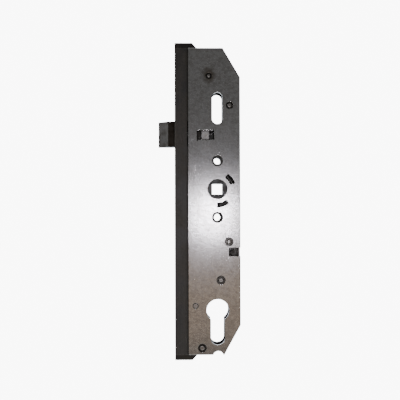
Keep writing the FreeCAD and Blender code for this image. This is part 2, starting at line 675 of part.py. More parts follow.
ROOT_RADIUS = "(cam_pitch - 1.25 * tooth_module)"
TIP_RADIUS = "(cam_pitch + tooth_module)"
BASE_RADIUS = "(cam_pitch * cos(pressure))"
FLANK_STEPS = 4
SPACES = range(-4, 2)
RACK_TEETH = range(-1, 5)


def space_half_angle(radius):
    """Half the angle of a tooth space at a radius on an involute flank, in degrees."""
    slant = f"acos({BASE_RADIUS} / ({radius}))"
    roll = f"(tan({slant}) * 180 / pi - {slant} / 1 deg)"
    roll_at_pitch = "(tan(pressure) * 180 / pi - pressure)"
    thinned = "(backlash / 4 / cam_pitch * 180 / pi)"
    return f"(90 / teeth_round - {roll_at_pitch} + {roll} + {thinned})"


def tooth_space(number):
    """The gap between two teeth of the sector, counted from the one on the -X axis."""
    centre = f"(180 + {number} * 360 / teeth_round)"
    flank = [(ROOT_RADIUS, space_half_angle(BASE_RADIUS))]
    for step in range(FLANK_STEPS + 1):
        radius = f"({BASE_RADIUS} + ({TIP_RADIUS} - {BASE_RADIUS}) * {step} / {FLANK_STEPS})"
        flank.append((radius, space_half_angle(radius)))
    flank.append((f"({TIP_RADIUS} + gauge)", space_half_angle(TIP_RADIUS)))
    first = [polar(radius, f"{centre} - {half}") for radius, half in flank]
    second = [polar(radius, f"{centre} + {half}") for radius, half in reversed(flank)]
    return outline(first + second)


def make_drive_cam():
    """Toothed sector on the follower's far half, open over an arc for the follower's dog."""
    body = new_body("drive_cam")
    near, far = "cam_near", "cam_far"
    add(body, near, far, circle("0", "0", "cam_rim"),
        circle("0", "0", "core_far_radius + pivot_fit"))
    add(body, near, far, ring_sector("cam_rim - gauge", TIP_RADIUS, "sector_from", "sector_to"))
    cut(body, near, far, ring_sector(
        "core_far_radius - gauge", "cam_rim + gauge", "cam_gap_from", "cam_gap_to"))
    for number in SPACES:
        cut(body, near, far, tooth_space(number))
    return body


def make_drive_rack():
    """Rack on the rear of the drive bar, in mesh with the cam's sector."""
    body = new_body("drive_rack")
    root, tip = "-cam_pitch - 1.25 * tooth_module", "tooth_module - cam_pitch"
    pitch_half = "pi * tooth_module / 4 - backlash / 4"
    root_half = f"({pitch_half} + 1.25 * tooth_module * tan(pressure))"
    tip_half = f"({pitch_half} - tooth_module * tan(pressure))"
    points = [("bar_rear", "rack_low"), (root, "rack_low")]
    for number in RACK_TEETH:
        centre = f"{number} * pi * tooth_module"
        points += [
            (root, f"{centre} - {root_half}"), (tip, f"{centre} - {tip_half}"),
            (tip, f"{centre} + {tip_half}"), (root, f"{centre} + {root_half}")]
    points += [(root, "rack_high"), ("bar_rear", "rack_high")]
    add(body, "rack_near", "rack_far", outline(points))
    cut(body, "bar_rear - gauge", "rack_rivet_rear", *rack_rivet_circles(), plane="YZ_Plane")
    return body


def rack_rivet_circles():
    """The rivets that hold the rack on the bar, seen along X."""
    return [circle("rack_rivet_y", place, "rack_rivet_radius")
            for place in ("rack_rivet_low", "rack_rivet_high")]


def rod_connector_circles():
    """The tapped holes that take the locking rods, seen along X."""
    middle = "(connector_low + connector_high) / 2"
    return [circle("0", place, "rod_hole") for place in (middle, f"-{middle}")]


def make_drive_bar():
    """Flat bar behind the channel's face: a latch window, two deadlock notches, rivet holes."""
    body = new_body("drive_bar")
    latch_low = "latch_z - latch_half_tall - 2 * latch_play"
    latch_high = "latch_z + latch_half_tall + bar_travel + 2 * latch_play"
    wide, tall = "notch_half_wide", "notch_half_tall"
    add(body, "bar_front", "bar_rear", box_outline(
        "-bar_half", "-bar_reach", "bar_half", "bar_reach"), plane="YZ_Plane")
    openings = [box_outline("-bar_window_half", latch_low, "bar_window_half", latch_high)]
    for lift in ("0", "bar_travel"):
        openings.append(box_outline(
            f"-{wide}", f"slider_z + {lift} - {tall}", wide, f"slider_z + {lift} + {tall}"))
    cut(body, "bar_front - gauge", "bar_rear + gauge", *openings, *rack_rivet_circles(),
        *rod_connector_circles(), plane="YZ_Plane")
    return body


def make_rack_rivets():
    """Rivets through the bar into the rack."""
    body = new_body("rack_rivets", group=True)
    add(body, "bar_front", "rack_rivet_rear", *rack_rivet_circles(), plane="YZ_Plane")
    return body


def make_rod_connectors():
    """Tapped blocks on the bar, seen in the channel's windows, that carry the locking rods."""
    body = new_body("rod_connectors", group=True)
    half = "connector_half"
    blocks = [
        box_outline(f"-{half}", "connector_low", half, "connector_high"),
        box_outline(f"-{half}", "-connector_high", half, "-connector_low")]
    add(body, "connector_front", "bar_front", *blocks, *rod_connector_circles(),
        plane="YZ_Plane")
    return body


# ---- deadlock ------------------------------------------------------------------------------------

def make_deadlock_slider():
    """Flat slider that enters a notch of the drive bar, slotted for its two studs."""
    body = new_body("deadlock_slider")
    half = "slider_half_thick"
    add(body, f"-{half}", half, box_outline(
        "slider_front", "slider_z - slider_half_tall",
        "slider_rear", "slider_z + slider_half_tall"))
    slot = "stud_radius + stud_play"
    for stud in ("stud_front_x", "stud_rear_x"):
        cut(body, f"-{half}", half, arm(
            (f"{stud} + throw", "slider_z", slot), (stud, "slider_z", slot)))
    add(body, "drive_pin_near", f"-{half}", circle("post_d_x", "slider_z", "drive_pin_radius"))
    return body


def make_slider_studs():
    """Headed studs on the tray that guide the slider."""
    body = new_body("slider_studs", group=True)
    places = [(stud, "slider_z") for stud in ("stud_front_x", "stud_rear_x")]
    shoulder = "slider_half_thick + stud_gap"
    add(body, "stud_near", shoulder, *[circle(*place, "stud_radius") for place in places])
    add(body, shoulder, "case_half - gauge", *[circle(*place, "stud_base") for place in places])
    add(body, "stud_near", f"-({shoulder})", *[circle(*place, "stud_head") for place in places])
    return body


def make_deadlock_lever():
    """Three-armed lever: the cylinder turns its heel, its slot moves the slider, and its tip
    shows in the rear notch."""
    body = new_body("deadlock_lever")
    near, far = "lever_near", "lever_far"
    pivot = ("post_d_x", "post_d_z")
    head = ("post_d_x", "dead_head_z")
    add(body, near, far, circle(*pivot, "dead_hub"))
    add(body, near, far, arm((*pivot, "dead_hub"), (*head, "dead_head_radius")))
    add(body, near, far, arm((*head, "dead_arm_radius"),
                             ("dead_tip_x", "dead_tip_z", "dead_tip_radius")))
    add(body, near, far, arm((*pivot, "dead_heel_root"),
                             ("dead_heel_x", "dead_heel_z", "dead_heel_radius")))
    cut(body, near, far, circle(*pivot, "pivot_radius + pivot_fit"), arm(
        ("post_d_x", "dead_slot_high", "dead_slot_half"),
        ("post_d_x", "dead_slot_low", "dead_slot_half")))
    round_edges(body, "shear_round", rim_at(near))
    return body


def make_parts():
    """Every part of the lock, in one list."""
    latch_gap = "spring_gap + latch_bore_end"
    return [
        make_cover_plate(), make_case_tray(), make_front_channel(),
        make_end_block("upper_end_block", 1, "plate_top"),
        make_end_block("lower_end_block", -1, "plate_bottom"),
        make_fixing_bush("upper_fixing_bush", "bush_height"),
        make_fixing_bush("lower_fixing_bush", "-bush_height"),
        make_spacer_posts(), make_deadlock_pivot(), make_flange_rivets(),
        make_latch_bolt(), make_latch_tail(), make_latch_pin(), make_latch_guide(),
        make_spring("latch_spring", (latch_gap, "0", "latch_z"), "0",
                    "(guide_front - latch_bore_end - 2 * spring_gap)",
                    "latch_wire", "latch_coil", "latch_turns"),
        make_latch_lever(), make_follower(), make_spring_seat(),
        make_spring("follower_spring", ("return_x", "return_y", "return_z"), "return_angle",
                    "return_length", "return_wire", "return_coil", "return_turns"),
        make_drive_cam(), make_drive_rack(), make_drive_bar(), make_rack_rivets(),
        make_rod_connectors(), make_deadlock_slider(), make_slider_studs(),
        make_deadlock_lever(),
        make_spring("deadlock_spring", ("slider_rear + spring_gap", "0", "slider_z"), "0",
                    "(plate_rear - gauge - slider_rear - 2 * spring_gap)",
                    "dead_wire", "dead_coil", "dead_turns")]


# ---- document ------------------------------------------------------------------------------------

def check_document(parts):
    """Stop if any object failed, any pocket cut nothing or any part's shape is not sound."""
    for item in DOC.Objects:
        if "Invalid" in item.State or "Error" in item.State:
            raise RuntimeError(f"{item.Name} is {item.State}")
        if item.TypeId == "PartDesign::Pocket":
            removed = item.BaseFeature.Shape.Volume - item.Shape.Volume
            if removed < 0.01:
                raise RuntimeError(f"{item.Name} cuts nothing")
    for part in parts:
        if part.Shape.isNull() or not part.Shape.isValid():
            raise RuntimeError(f"{part.Label} has no valid shape")


def main():
    """Build every part, check the document and write one STEP file for each part."""
    fill_sheet()
    parts = make_parts()
    DOC.recompute()
    check_document(parts)
    os.makedirs("parts", exist_ok=True)
    for part in parts:
        part.Shape.exportStep(f"parts/{part.Label}.step")
        print(f"{part.Label}: {len(part.Shape.Solids)} solid(s), {part.Shape.Volume:.1f} mm3")


main()
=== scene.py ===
import json
import math

import bpy
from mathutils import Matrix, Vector


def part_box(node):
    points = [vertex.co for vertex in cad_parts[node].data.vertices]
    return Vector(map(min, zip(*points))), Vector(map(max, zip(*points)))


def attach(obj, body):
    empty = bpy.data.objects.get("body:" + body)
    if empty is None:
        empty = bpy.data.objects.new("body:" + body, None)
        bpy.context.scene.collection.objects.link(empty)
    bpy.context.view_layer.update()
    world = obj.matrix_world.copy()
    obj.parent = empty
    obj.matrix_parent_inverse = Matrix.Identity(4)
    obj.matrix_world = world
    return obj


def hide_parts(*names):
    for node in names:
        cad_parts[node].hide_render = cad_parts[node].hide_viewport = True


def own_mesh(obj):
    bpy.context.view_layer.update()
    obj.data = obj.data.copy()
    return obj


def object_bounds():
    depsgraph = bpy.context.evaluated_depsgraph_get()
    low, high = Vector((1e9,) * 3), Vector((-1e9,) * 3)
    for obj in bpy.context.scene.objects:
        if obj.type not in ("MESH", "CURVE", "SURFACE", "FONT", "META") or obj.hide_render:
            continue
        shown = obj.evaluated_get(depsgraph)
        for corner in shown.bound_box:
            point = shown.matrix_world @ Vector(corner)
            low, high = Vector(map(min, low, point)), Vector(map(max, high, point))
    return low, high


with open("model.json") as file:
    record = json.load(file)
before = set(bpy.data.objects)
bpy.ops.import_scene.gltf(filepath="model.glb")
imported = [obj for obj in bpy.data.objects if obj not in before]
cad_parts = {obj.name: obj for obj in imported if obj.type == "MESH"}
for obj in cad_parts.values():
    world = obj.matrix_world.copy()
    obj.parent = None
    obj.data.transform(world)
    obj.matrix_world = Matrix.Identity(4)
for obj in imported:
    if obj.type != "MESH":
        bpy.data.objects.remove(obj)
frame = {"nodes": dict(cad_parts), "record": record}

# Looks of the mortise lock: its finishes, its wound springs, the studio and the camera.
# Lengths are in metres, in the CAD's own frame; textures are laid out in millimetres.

MM = 0.001
CASE_SHADE_REACH = 16.0       # millimetres over which the case's walls count as closing in on a point, for the painted shade deep in the case
CAD_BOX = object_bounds()
SLOT_OF = {part["node"]: part["material_slot"] for part in frame["record"]["subparts"]}


# ---- node building blocks -----------------------------------------------------------------------

class Finish:
    """One procedural metal finish: a Principled shader and the textures that feed it."""

    def __init__(self, name):
        self.material = bpy.data.materials.new(name)
        self.material.use_nodes = True
        self.tree = self.material.node_tree
        self.shader = self.tree.nodes["Principled BSDF"]
        self.shader.inputs["Metallic"].default_value = 1.0
        self.shader.inputs["Specular IOR Level"].default_value = 0.5
        object_place = self.add("ShaderNodeTexCoord").outputs["Object"]
        self.place = self.vector("SCALE", object_place, scale=1 / MM)
        self.heights = []

    def add(self, kind, **settings):
        """A new node with its properties set."""
        node = self.tree.nodes.new(kind)
        for name, setting in settings.items():
            setattr(node, name, setting)
        return node

    def feed(self, socket, source):
        """Join a source to a socket, or set the socket when the source is a plain value."""
        if isinstance(source, bpy.types.NodeSocket):
            self.tree.links.new(source, socket)
        else:
            socket.default_value = source

    def vector(self, operation, first, second=None, scale=None):
        """The result of one vector operation."""
        node = self.add("ShaderNodeVectorMath", operation=operation)
        self.feed(node.inputs[0], first)
        if second is not None:
            self.feed(node.inputs[1], second)
        if scale is not None:
            node.inputs["Scale"].default_value = scale
        return node.outputs["Value" if operation in ("DOT_PRODUCT", "LENGTH") else "Vector"]

    def maths(self, operation, first, second=0.0):
        """The result of one operation on plain values."""
        node = self.add("ShaderNodeMath", operation=operation)
        self.feed(node.inputs[0], first)
        self.feed(node.inputs[1], second)
        return node.outputs["Value"]

    def ramp(self, factor, low, high, to_low=0.0, to_high=1.0):
        """Map a factor smoothly from one range to another."""
        node = self.add("ShaderNodeMapRange", interpolation_type="SMOOTHSTEP")
        for name, source in (("Value", factor), ("From Min", low), ("From Max", high),
                             ("To Min", to_low), ("To Max", to_high)):
            self.feed(node.inputs[name], source)
        return node.outputs["Result"]

    def mix(self, factor, first, second):
        """Mix two colours."""
        node = self.add("ShaderNodeMix", data_type="RGBA")
        colours = [socket for socket in node.inputs if socket.type == "RGBA"]
        self.feed(node.inputs["Factor"], factor)
        self.feed(colours[0], first)
        self.feed(colours[1], second)
        return [socket for socket in node.outputs if socket.type == "RGBA"][0]

    def stretched(self, stretch, turn=0.0, shift=0.0):
        """Texture places turned about Y by an angle in degrees, then drawn out along each axis."""
        node = self.add("ShaderNodeMapping", vector_type="TEXTURE")
        self.feed(node.inputs["Vector"], self.place)
        node.inputs["Location"].default_value = (shift, 0.0, shift)
        node.inputs["Rotation"].default_value = (0.0, math.radians(turn), 0.0)
        node.inputs["Scale"].default_value = stretch
        return node.outputs["Vector"]

    def noise(self, size, detail=3.0, stretch=(1.0, 1.0, 1.0), turn=0.0, shift=0.0):
        """Cloudy noise whose features are about size millimetres across."""
        node = self.add("ShaderNodeTexNoise")
        self.feed(node.inputs["Vector"], self.stretched(stretch, turn, shift))
        node.inputs["Scale"].default_value = 1 / size
        node.inputs["Detail"].default_value = detail
        return node.outputs["Fac"]

    def cells(self, size):
        """Distance to the nearest of scattered points about size millimetres apart."""
        node = self.add("ShaderNodeTexVoronoi")
        self.feed(node.inputs["Vector"], self.stretched((1.0, 1.0, 1.0)))
        node.inputs["Scale"].default_value = 1 / size
        return node.outputs["Distance"]

    def scratches(self, turns, width=0.16, length=14.0, rare=0.70):
        """Fine straight scratches in several directions: 1 on a scratch, 0 elsewhere."""
        total = None
        for index, turn in enumerate(turns):
            line = self.noise(width, 1.0, (1.0, 1.0, length / width), turn, 31.0 * index)
            where = self.noise(9.0, 1.0, shift=17.0 * index)
            strength = self.maths("MULTIPLY", self.ramp(line, rare, rare + 0.05),
                                  self.ramp(where, 0.5, 0.62))
            total = strength if total is None else self.maths("MAXIMUM", total, strength)
        return total

    def crevice_shade(self, reach, amount=1.0):
        """How enclosed a point is: 0 in the open, up to the amount deep in a corner; the finishes paint
        shade with it.
        """
        node = self.add("ShaderNodeAmbientOcclusion", samples=6)
        node.inputs["Distance"].default_value = reach * MM
        return self.ramp(node.outputs["AO"], 0.35, 0.95, amount, 0.0)

    def edges(self, radius, amount=1.0):
        """How near a point is to an outside edge, broken up as rubbed edges are."""
        bevel = self.add("ShaderNodeBevel", samples=4)
        bevel.inputs["Radius"].default_value = radius * MM
        flat = self.add("ShaderNodeNewGeometry").outputs["Normal"]
        turn = self.vector("DOT_PRODUCT", bevel.outputs["Normal"], flat)
        edge = self.ramp(turn, 0.80, 0.99, amount, 0.0)
        broken = self.ramp(self.noise(1.6, 4.0), 0.35, 0.62, 0.25, 1.0)
        return self.maths("MULTIPLY", edge, broken)

    def relief(self, height, depth):
        """Add a height from 0 to 1 that stands depth millimetres proud."""
        self.heights.append(self.maths("MULTIPLY", height, depth))

    def finish(self, colour, roughness, oil_and_case_shade=0.92):
        """Paint shade over what lies deep in the case, feed the shader and join up the relief."""
        # painted shade: everything deep inside the case is darkened towards a near-black brown
        colour = self.mix(self.crevice_shade(CASE_SHADE_REACH, oil_and_case_shade), colour, grey(0.012, 0.10))
        self.feed(self.shader.inputs["Base Color"], colour)
        self.feed(self.shader.inputs["Roughness"], roughness)
        if self.heights:
            total = self.heights[0]
            for height in self.heights[1:]:
                total = self.maths("ADD", total, height)
            bump = self.add("ShaderNodeBump")
            bump.inputs["Strength"].default_value = 1.0
            bump.inputs["Distance"].default_value = MM
            self.feed(bump.inputs["Height"], total)
            self.feed(self.shader.inputs["Normal"], bump.outputs["Normal"])
        return self.material


def grey(level, warmth=0.0):
    """A grey, made warmer by a positive warmth and cooler by a negative one."""
    return (level * (1 + warmth), level, level * (1 - warmth), 1.0)


# ---- finishes, one function for each material slot ------------------------------------------------

def plate_steel():
    """Rolled, dull-plated sheet steel: cloudy, finely speckled, scratched and handled, with painted
    shade in its hollows and a painted dark line along its edges.
    """
    steel = Finish("plate_steel")
    speckle = steel.ramp(steel.noise(0.7, 3.0), 0.38, 0.62)
    mottle = steel.ramp(steel.noise(1.7, 4.0, (1.5, 1.0, 1.0), 12.0), 0.40, 0.60)
    blots = steel.ramp(steel.noise(3.6, 4.0), 0.44, 0.62)
    clouds = steel.ramp(steel.noise(11.0, 5.0, (1.0, 1.0, 1.6)), 0.30, 0.72)
    rolled = steel.ramp(steel.noise(0.8, 3.0, (1.0, 1.0, 30.0)), 0.40, 0.66)
    smears = steel.ramp(steel.noise(5.0, 5.0, (1.0, 1.0, 2.2), 24.0), 0.52, 0.72)
    scratches = steel.scratches((8.0, -21.0, 47.0, 83.0))
    colour = steel.mix(speckle, grey(0.40, 0.03), grey(0.54, 0.02))
    colour = steel.mix(steel.maths("MULTIPLY", mottle, 0.55), colour, grey(0.27, 0.04))
    colour = steel.mix(steel.maths("MULTIPLY", blots, 0.28), colour, grey(0.64, -0.01))
    colour = steel.mix(steel.maths("MULTIPLY", clouds, 0.25), colour, grey(0.34, 0.05))
    colour = steel.mix(steel.maths("MULTIPLY", rolled, 0.14), colour, grey(0.60, 0.01))
    colour = steel.mix(steel.maths("MULTIPLY", smears, 0.14), colour, grey(0.30, 0.09))
    colour = steel.mix(steel.maths("MULTIPLY", scratches, 0.40), colour, grey(0.70, 0.0))
    colour = steel.mix(rivet_smudge(steel), colour, grey(0.13, 0.24))
    # painted shade: hollows and corners of the plate darkened to a dark brown
    colour = steel.mix(steel.crevice_shade(1.6, 0.85), colour, grey(0.05, 0.16))
    # painted shade: a dark line painted along the plate's outside edges
    colour = steel.mix(steel.edges(0.45, 1.5), colour, grey(0.09, 0.05))
    roughness = steel.ramp(clouds, 0.0, 1.0, 0.138, 0.152)
    roughness = steel.maths("ADD", roughness, steel.maths("MULTIPLY", mottle, 0.018))
    roughness = steel.maths("ADD", roughness, steel.maths("MULTIPLY", smears, 0.012))
    steel.relief(speckle, 0.0012)
    steel.relief(mottle, 0.0012)
    steel.relief(scratches, -0.006)
    return steel.finish(colour, roughness)


def rivet_smudge(steel):
    """An oily thumb smudge around the topmost rivet of the plates."""
    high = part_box("spacer_posts")[1].z
    posts = frame["nodes"]["spacer_posts"].data.vertices
    top = [vertex.co for vertex in posts if vertex.co.z > high - 4 * MM]
    across = sum(point.x for point in top) / len(top) / MM
    centre = (across, 0.0, high / MM - 2.5)
    away = steel.vector("SUBTRACT", steel.place, centre)
    away = steel.vector("LENGTH", steel.vector("MULTIPLY", away, (1.0, 0.0, 0.8)))
    wander = steel.maths("MULTIPLY", steel.noise(2.2, 4.0), 5.0)
    return steel.ramp(steel.maths("ADD", away, wander), 4.2, 9.0, 0.80, 0.0)


def dark_channel():
    """Black-oxidised folded channel, browned in patches and rubbed bright along its bends, with painted
    shade in its hollows.
    """
    steel = Finish("dark_channel")
    patches = steel.ramp(steel.noise(16.0, 5.0), 0.38, 0.68)
    speckle = steel.ramp(steel.noise(0.6, 4.0), 0.40, 0.66)
    drawn = steel.ramp(steel.noise(0.35, 2.0, (1.0, 1.0, 80.0)), 0.38, 0.68)
    scratches = steel.scratches((3.0, -12.0, 64.0), rare=0.72)
    colour = steel.mix(patches, grey(0.078, 0.03), grey(0.104, 0.10))
    colour = steel.mix(steel.maths("MULTIPLY", speckle, 0.40), colour, grey(0.050, 0.03))
    colour = steel.mix(steel.maths("MULTIPLY", drawn, 0.14), colour, grey(0.13, 0.01))
    colour = steel.mix(steel.maths("MULTIPLY", scratches, 0.35), colour, grey(0.34, 0.02))
    colour = steel.mix(steel.edges(0.45, 0.45), colour, grey(0.38, 0.05))
    # painted shade: the channel's hollows darkened to near black
    colour = steel.mix(steel.crevice_shade(1.5, 0.35), colour, grey(0.03, 0.14))
    roughness = steel.ramp(patches, 0.0, 1.0, 0.42, 0.54)
    roughness = steel.maths("SUBTRACT", roughness, steel.maths("MULTIPLY", scratches, 0.14))
    steel.relief(speckle, 0.006)
    steel.relief(drawn, 0.002)
    steel.relief(scratches, -0.005)
    return steel.finish(colour, roughness)


def dark_block():
    """Cast and blackened end block with a pebbled skin."""
    iron = Finish("dark_block")
    pebbles = iron.ramp(iron.cells(0.55), 0.05, 0.65)
    patches = iron.ramp(iron.noise(7.0, 4.0), 0.36, 0.66)
    colour = iron.mix(patches, grey(0.052, 0.06), grey(0.075, 0.14))
    colour = iron.mix(iron.maths("MULTIPLY", pebbles, 0.35), colour, grey(0.040, 0.08))
    colour = iron.mix(iron.edges(0.5, 0.40), colour, grey(0.22, 0.06))
    # painted shade: the block's hollows darkened to near black
    colour = iron.mix(iron.crevice_shade(1.5, 0.8), colour, grey(0.018, 0.08))
    roughness = iron.ramp(patches, 0.0, 1.0, 0.46, 0.60)
    iron.relief(pebbles, 0.020)
    iron.relief(iron.noise(2.5, 3.0), 0.030)
    return iron.finish(colour, roughness)


def bush_steel():
    """Turned tube: dull oxidised ends with fine tool rings."""
    steel = Finish("bush_steel")
    rings = steel.ramp(steel.noise(0.22, 2.0, (30.0, 1.0, 30.0)), 0.36, 0.66)
    stains = steel.ramp(steel.noise(2.4, 4.0), 0.40, 0.66)
    colour = steel.mix(stains, grey(0.12, 0.03), grey(0.08, 0.08))
    colour = steel.mix(steel.maths("MULTIPLY", rings, 0.25), colour, grey(0.18, 0.0))
    # painted shade: the bush's hollows darkened to near black
    colour = steel.mix(steel.crevice_shade(1.2, 0.8), colour, grey(0.02, 0.15))
    roughness = steel.ramp(stains, 0.0, 1.0, 0.66, 0.74)
    steel.relief(rings, 0.004)
    return steel.finish(colour, roughness)


def post_steel():
    """Riveted post ends: peened, a little browned, with painted shade that blackens them at the root.
    """
    steel = Finish("post_steel")
    peened = steel.ramp(steel.cells(0.6), 0.05, 0.60)
    stains = steel.ramp(steel.noise(1.5, 4.0), 0.38, 0.66)
    colour = steel.mix(stains, grey(0.36, 0.03), grey(0.26, 0.10))
    # painted shade: the ring round each post's root darkened to near black
    colour = steel.mix(steel.crevice_shade(1.3, 0.90), colour, grey(0.02, 0.10))
    roughness = steel.ramp(stains, 0.0, 1.0, 0.22, 0.34)
    steel.relief(peened, 0.006)
    return steel.finish(colour, roughness)


def sintered_steel():
    """Sintered latch head: darker brown flanks on the faces turned to ±Y, and a lighter bevel with rub
    scratches.
    """
    steel = Finish("sintered_steel")
    pores = steel.ramp(steel.cells(0.38), 0.04, 0.34)
    lines = steel.ramp(steel.noise(0.30, 2.0, (1.0, 1.0, 90.0)), 0.36, 0.66)
    film = steel.ramp(steel.noise(4.5, 4.0), 0.36, 0.68)
    rubs = steel.scratches((88.0, 79.0, -86.0), rare=0.69)
    # the faces turned to ±Y (the flanks) get a darker brown than the bevel
    facing = steel.add("ShaderNodeTexCoord").outputs["Normal"]
    flat = steel.vector("DOT_PRODUCT", facing, (0.0, 1.0, 0.0))
    flank = steel.ramp(steel.maths("ABSOLUTE", flat), 0.86, 0.97)
    bevel_colour = steel.mix(film, grey(0.086, 0.02), grey(0.062, 0.07))
    bevel_colour = steel.mix(steel.maths("MULTIPLY", lines, 0.35), bevel_colour, grey(0.115, 0.03))
    bevel_colour = steel.mix(steel.maths("MULTIPLY", rubs, 0.35), bevel_colour, grey(0.24, 0.01))
    flank_colour = steel.mix(film, grey(0.034, 0.18), grey(0.024, 0.26))
    colour = steel.mix(flank, bevel_colour, flank_colour)
    colour = steel.mix(steel.maths("SUBTRACT", 0.45, steel.maths("MULTIPLY", pores, 0.45)),
                       colour, grey(0.025, 0.12))
    colour = steel.mix(steel.edges(0.5, 0.5), colour, grey(0.26, 0.02))
    # painted shade: the latch's hollows darkened to near black
    colour = steel.mix(steel.crevice_shade(1.2, 0.8), colour, grey(0.02, 0.12))
    roughness = steel.ramp(film, 0.0, 1.0, 0.36, 0.48)
    steel.relief(pores, 0.012)
    steel.relief(lines, 0.005)
    return steel.finish(colour, roughness)


def pressed_steel(name, light, dark, warmth, rough):
    """Pressed steel between a light and a dark grey: drawn across, with oil clouds, rubbed edges and
    painted shade in its hollows.
    """
    steel = Finish(name)
    drawn = steel.ramp(steel.noise(0.3, 2.0, (50.0, 1.0, 1.0)), 0.36, 0.66)
    oil_and_case_shade = steel.ramp(steel.noise(3.0, 4.0), 0.38, 0.66)
    scratches = steel.scratches((30.0, -40.0), length=8.0)
    colour = steel.mix(oil_and_case_shade, grey(light, warmth), grey(dark, warmth * 2))
    colour = steel.mix(steel.maths("MULTIPLY", drawn, 0.22), colour, grey(light * 1.3, warmth))
    colour = steel.mix(steel.maths("MULTIPLY", scratches, 0.40), colour, grey(light * 1.7, 0.0))
    # painted shade: hollows between pressed parts darkened to a dark brown
    colour = steel.mix(steel.crevice_shade(1.4, 0.8), colour, grey(0.03, 0.14))
    colour = steel.mix(steel.edges(0.3, 0.6), colour, grey(min(light * 1.8, 0.85), 0.01))
    roughness = steel.ramp(oil_and_case_shade, 0.0, 1.0, rough, rough + 0.12)
    steel.relief(drawn, 0.004)
    steel.relief(scratches, -0.006)
    return steel.finish(colour, roughness)


def lever_steel():
    """Plain bright lever steel."""
    return pressed_steel("lever_steel", 0.50, 0.34, 0.03, 0.26)


def dark_lever():
    """Case-hardened lever, left dark brown by its oil bath."""
    return pressed_steel("dark_lever", 0.17, 0.10, 0.04, 0.42)


def bar_steel():
    """Flat drive bar and its rack, plated and a little cloudy."""
    return pressed_steel("bar_steel", 0.46, 0.32, 0.02, 0.28)


def pin_steel():
    """Small drawn pins."""
    return pressed_steel("pin_steel", 0.42, 0.26, 0.05, 0.26)


def spring_steel():
    """Drawn and oiled spring wire."""
    wire = Finish("spring_steel")
    film = wire.ramp(wire.noise(0.9, 4.0), 0.36, 0.68)
    drawn = wire.ramp(wire.noise(0.10, 2.0, (14.0, 14.0, 1.0)), 0.38, 0.64)
    colour = wire.mix(film, grey(0.74, 0.02), grey(0.48, 0.08))
    colour = wire.mix(wire.maths("MULTIPLY", drawn, 0.25), colour, grey(0.80, 0.0))
    # painted shade: the wire darkened where coils close in on each other
    colour = wire.mix(wire.crevice_shade(0.3, 0.4), colour, grey(0.03, 0.12))
    wire.relief(drawn, 0.003)
    return wire.finish(colour, wire.ramp(film, 0.0, 1.0, 0.20, 0.32), oil_and_case_shade=0.25)


def follower_zinc():
    """Die-cast follower: soft orange-peel skin, bright where the spindle rubs."""
    zinc = Finish("follower_zinc")
    skin = zinc.noise(0.9, 3.0)
    clouds = zinc.ramp(zinc.noise(3.2, 4.0), 0.36, 0.68)
    colour = zinc.mix(clouds, grey(0.125, 0.0), grey(0.085, 0.02))
    colour = zinc.mix(zinc.edges(0.35, 0.35), colour, grey(0.50, 0.0))
    # painted shade: the follower's hollows darkened to near black
    colour = zinc.mix(zinc.crevice_shade(1.5, 0.85), colour, grey(0.03, 0.12))
    zinc.relief(skin, 0.020)
    return zinc.finish(colour, zinc.ramp(clouds, 0.0, 1.0, 0.40, 0.52))


def paint_nodes():
    """Give every visible CAD node the finish of its material slot."""
    makers = (plate_steel, dark_channel, dark_block, bush_steel, post_steel, sintered_steel,
              lever_steel, dark_lever, bar_steel, pin_steel, spring_steel, follower_zinc)
    finishes = {maker.__name__: maker() for maker in makers}
    for name, node in frame["nodes"].items():
        node.data.materials.clear()
        node.data.materials.append(finishes[SLOT_OF[name]])
    return finishes


# ---- wound springs --------------------------------------------------------------------------------

STEPS_A_TURN = 40
CLOSED_TURNS = 1.0
WIRE_SIDES = 12
LATCH_WIRE, FOLLOWER_WIRE, DEADLOCK_WIRE = 0.35, 0.32, 0.30     # wire radii in millimetres
FOLLOWER_SPRING_SLOPE, FOLLOWER_SPRING_LENGTH = -53.0, 12.4     # degrees from +X, millimetres


def wound_points(length, radius, wire, turns):
    """Centreline of a compression spring along Z: a closed coil at each end, open between."""
    closed_rise = CLOSED_TURNS * 2 * wire
    free = length - 2 * wire - 2 * closed_rise
    points = []
    for step in range(int(turns * STEPS_A_TURN) + 1):
        turn = step / STEPS_A_TURN
        share = min(max((turn - CLOSED_TURNS) / (turns - 2 * CLOSED_TURNS), 0.0), 1.0)
        closed = min(turn, CLOSED_TURNS) + max(turn - turns + CLOSED_TURNS, 0.0)
        rise = wire + closed * 2 * wire + share * free
        angle = 2 * math.pi * turn
        points.append(Vector((radius * math.cos(angle), radius * math.sin(angle), rise)))
    return points


def spring(name, node, start, along, length, radius, wire, turns):
    """A wound wire spring that stands for a CAD spring, from a start point along a direction."""
    curve = bpy.data.curves.new(name, "CURVE")
    curve.dimensions = "3D"
    curve.bevel_depth = wire
    curve.bevel_resolution = WIRE_SIDES // 4
    curve.use_fill_caps = True
    points = wound_points(length, radius, wire, turns)
    line = curve.splines.new("POLY")
    line.points.add(len(points) - 1)
    turn = Vector(along).to_track_quat("Z", "Y")
    for target, point in zip(line.points, points):
        target.co = (*(Vector(start) + turn @ point), 1.0)
    holder = bpy.data.objects.new(name, curve)
    bpy.context.scene.collection.objects.link(holder)
    bpy.context.view_layer.update()
    mesh = bpy.data.meshes.new_from_object(holder.evaluated_get(bpy.context.evaluated_depsgraph_get()))
    bpy.data.objects.remove(holder)
    piece = bpy.data.objects.new(name, mesh)
    bpy.context.scene.collection.objects.link(piece)
    mesh.materials.clear()
    mesh.materials.append(FINISHES["spring_steel"])
    mesh.shade_smooth()
    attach(piece, "case")
    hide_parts(node)
    return piece


def middle(node, axis):
    """The middle of a node's box along one axis."""
    low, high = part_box(node)
    return (low[axis] + high[axis]) / 2


